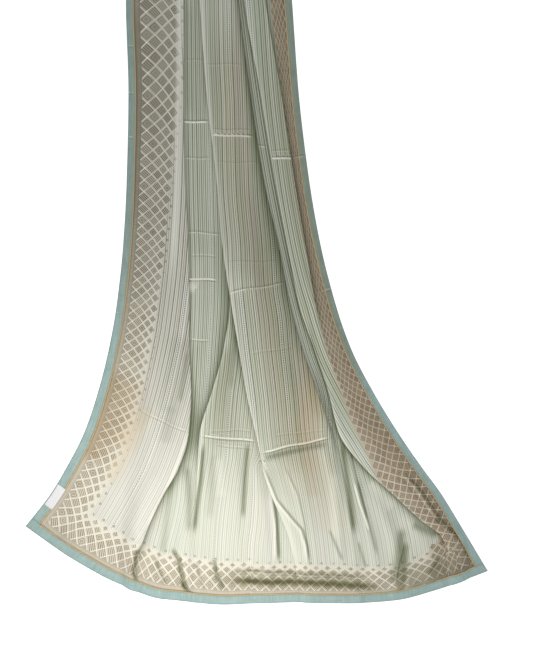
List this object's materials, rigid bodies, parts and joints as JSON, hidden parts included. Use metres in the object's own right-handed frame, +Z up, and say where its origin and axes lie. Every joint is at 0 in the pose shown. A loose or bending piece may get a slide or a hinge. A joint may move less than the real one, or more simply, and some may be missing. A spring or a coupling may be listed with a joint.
{
  "type": "saree laid out flat, pleated and fanned, with the rest of its length folded",
  "caption": "Pleated length of bordered saree cloth laid in a fan on a flat surface, the remaining length folded in a stack at its waist end.",
  "frame": {"origin": "below the middle of the whole piece, on the surface that it lies on", "axes": "+Z up from the surface, +Y from the hem towards the folded length, +X to the right of one who faces +Y"},
  "size_m": [1.086, 1.8448, 0.0535],
  "materials": {
    "field_cloth": "silky woven cloth, soft sheen",
    "bordered_cloth": "silky cloth with a woven diamond border",
    "teal_binding": "satin binding",
    "gold_braid": "metallic thread",
    "label_tape": "matt woven tape"
  },
  "bodies": {
    "root": {"edging_left": "teal_binding", "panel_left": "bordered_cloth", "pleat_inset_left": "field_cloth", "pleat_lower": "field_cloth", "pleat_main": "field_cloth", "pleat_inset_right": "field_cloth", "pleat_right": "field_cloth", "panel_right": "bordered_cloth", "edging_right": "teal_binding", "edging_hem": "teal_binding", "gold_trim_left": "gold_braid", "gold_trim_right": "gold_braid", "gold_trim_hem": "gold_braid", "label": "label_tape", "folded_length": "field_cloth"}
  },
  "joints": []
}
